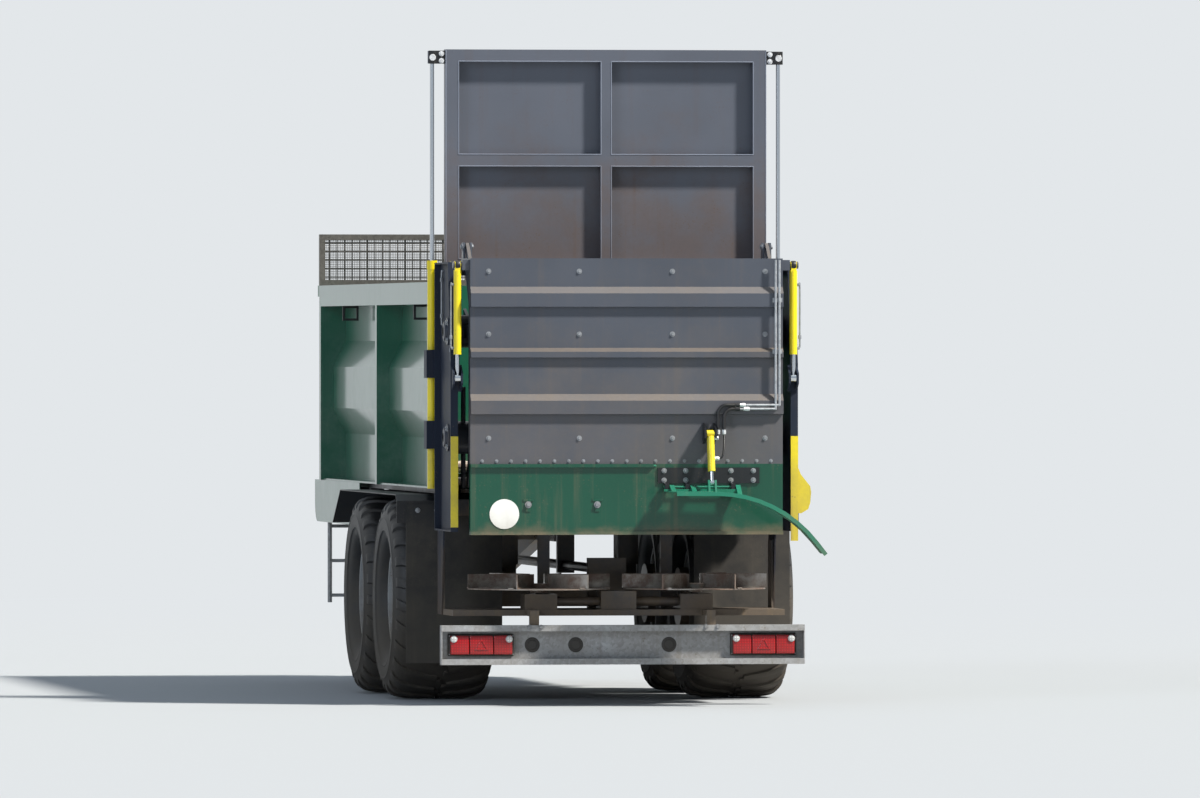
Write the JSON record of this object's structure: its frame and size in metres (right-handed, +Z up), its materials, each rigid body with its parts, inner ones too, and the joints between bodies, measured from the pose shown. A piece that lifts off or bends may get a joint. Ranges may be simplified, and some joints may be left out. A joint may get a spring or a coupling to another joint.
{
  "type": "manure spreader",
  "caption": "Towed manure spreader: tandem hopper wagon with scraper floor, raised gate, milling drums and spreading discs under a hinged rear hood.",
  "frame": {"origin": "centre of the coupling eye's bore", "axes": "+X to the machine's right, +Y forward along the drawbar, +Z up"},
  "size_m": [2.768, 9.522, 4.425],
  "materials": {
    "green_paint": "gloss",
    "anthracite_paint": "satin",
    "chassis_paint": "satin",
    "yellow_paint": "gloss",
    "silver_paint": "satin",
    "galvanised": "satin",
    "worn_steel": "worn",
    "chrome_rod": "polished",
    "tyre_rubber": "matt",
    "rubber": "matt",
    "black_plastic": "matt",
    "lamp_red": "gloss",
    "white_disc": "satin"
  },
  "bodies": {
    "frame": {"chassis_frame": "chassis_paint", "drawbar": "chassis_paint", "coupling_eye": "worn_steel", "jack_tube": "chassis_paint", "hopper_floor": "worn_steel", "scraper_floor": "worn_steel", "scraper_shafts": "worn_steel", "wall_left": "green_paint", "wall_right": "green_paint", "wall_hooks": "chassis_paint", "front_wall": "green_paint", "front_screen": "galvanised", "side_skirts": "green_paint", "fenders": "black_plastic", "mud_flaps": "rubber", "ladder": "galvanised", "axle_rear": "chassis_paint", "axle_front": "chassis_paint", "leaf_springs": "chassis_paint", "side_frame_left": "chassis_paint", "side_frame_right": "chassis_paint", "cylinder_ears": "chassis_paint", "hood_beam": "anthracite_paint", "gate_barrels": "yellow_paint", "disc_deck": "chassis_paint", "gearboxes": "chassis_paint", "driveline": "chassis_paint", "drive_guard": "yellow_paint", "light_bar": "galvanised", "lamps": "lamp_red"},
    "gate": {"gate": "anthracite_paint", "gate_rods": "chrome_rod"},
    "hood": {"hood": "anthracite_paint", "lower_cover": "green_paint", "speed_disc": "white_disc", "flap_mount": "anthracite_paint", "flap_pipes": "galvanised", "flap_hoses": "rubber"},
    "hood_barrels": {"hood_barrels": "yellow_paint"},
    "hood_rods": {"hood_rods": "chrome_rod"},
    "flap": {"flap": "green_paint"},
    "flap_barrel": {"flap_barrel": "yellow_paint"},
    "flap_rod": {"flap_rod": "chrome_rod"},
    "jack_leg": {"jack_leg": "galvanised"},
    "drum_lower": {"drum_lower": "chassis_paint"},
    "drum_upper": {"drum_upper": "chassis_paint"},
    "disc_left": {"disc_left": "worn_steel"},
    "disc_right": {"disc_right": "worn_steel"},
    "wheel_rear_left": {"tyre_rear_left": "tyre_rubber", "rim_rear_left": "silver_paint"},
    "wheel_rear_right": {"tyre_rear_right": "tyre_rubber", "rim_rear_right": "silver_paint"},
    "wheel_front_left": {"tyre_front_left": "tyre_rubber", "rim_front_left": "silver_paint"},
    "wheel_front_right": {"tyre_front_right": "tyre_rubber", "rim_front_right": "silver_paint"}
  },
  "joints": [
    {"name": "wheel_rear_left_spin", "type": "hinge", "parent": "frame", "child": "wheel_rear_left", "pos_m": [-1.025, -6.7, 0.19], "axis": [1, 0, 0], "continuous": true},
    {"name": "wheel_rear_right_spin", "type": "hinge", "parent": "frame", "child": "wheel_rear_right", "pos_m": [1.025, -6.7, 0.19], "axis": [1, 0, 0], "continuous": true},
    {"name": "wheel_front_left_spin", "type": "hinge", "parent": "frame", "child": "wheel_front_left", "pos_m": [-1.025, -5.15, 0.19], "axis": [1, 0, 0], "continuous": true},
    {"name": "wheel_front_right_spin", "type": "hinge", "parent": "frame", "child": "wheel_front_right", "pos_m": [1.025, -5.15, 0.19], "axis": [1, 0, 0], "continuous": true},
    {"name": "gate_lift", "type": "slide", "parent": "frame", "child": "gate", "axis": [0, 0, -1], "range_m": [0, 1.325]},
    {"name": "hood_hinge", "type": "hinge", "parent": "frame", "child": "hood", "pos_m": [0, -8.34, 2.585], "axis": [-1, 0, 0], "range_deg": [0, 80]},
    {"name": "hood_barrel_pivot", "type": "hinge", "parent": "hood", "child": "hood_barrels", "pos_m": [0, -8.75, 2.46], "axis": [-1, 0, 0], "range_deg": [-72, 0]},
    {"name": "hood_rod_slide", "type": "slide", "parent": "hood_barrels", "child": "hood_rods", "axis": [0, 0, -1], "range_m": [0, 0.53]},
    {"name": "flap_hinge", "type": "hinge", "parent": "hood", "child": "flap", "pos_m": [0, -8.845, 0.97], "axis": [1, 0, 0], "range_deg": [0, 50]},
    {"name": "flap_barrel_pivot", "type": "hinge", "parent": "hood", "child": "flap_barrel", "pos_m": [0.555, -8.885, 1.33], "axis": [1, 0, 0], "range_deg": [0, 6]},
    {"name": "flap_rod_slide", "type": "slide", "parent": "flap_barrel", "child": "flap_rod", "axis": [0, -0.2063, -0.9785], "range_m": [0, 0.095]},
    {"name": "jack_slide", "type": "slide", "parent": "frame", "child": "jack_leg", "axis": [0, 0, 1], "range_m": [0, 0.35]},
    {"name": "drum_lower_spin", "type": "hinge", "parent": "frame", "child": "drum_lower", "pos_m": [0, -8.3, 1.3], "axis": [1, 0, 0], "continuous": true},
    {"name": "drum_upper_spin", "type": "hinge", "parent": "frame", "child": "drum_upper", "pos_m": [0, -8.3, 2.015], "axis": [1, 0, 0], "continuous": true},
    {"name": "disc_left_spin", "type": "hinge", "parent": "frame", "child": "disc_left", "pos_m": [-0.53, -8.33, 0.285], "axis": [0, 0, 1], "continuous": true},
    {"name": "disc_right_spin", "type": "hinge", "parent": "frame", "child": "disc_right", "pos_m": [0.53, -8.33, 0.285], "axis": [0, 0, 1], "continuous": true}
  ],
  "couplings": [
    {"joint": "hood_barrel_pivot", "follows": "hood_hinge", "ratio": -0.87923},
    {"joint": "hood_rod_slide", "follows": "hood_hinge", "m_per_rad": 0.37621},
    {"joint": "flap_barrel_pivot", "follows": "flap_hinge", "ratio": 0.098606},
    {"joint": "flap_rod_slide", "follows": "flap_hinge", "m_per_rad": 0.1033},
    {"joint": "drum_upper_spin", "follows": "drum_lower_spin", "ratio": 1},
    {"joint": "disc_left_spin", "follows": "drum_lower_spin", "ratio": -1},
    {"joint": "disc_right_spin", "follows": "drum_lower_spin", "ratio": 1}
  ]
}
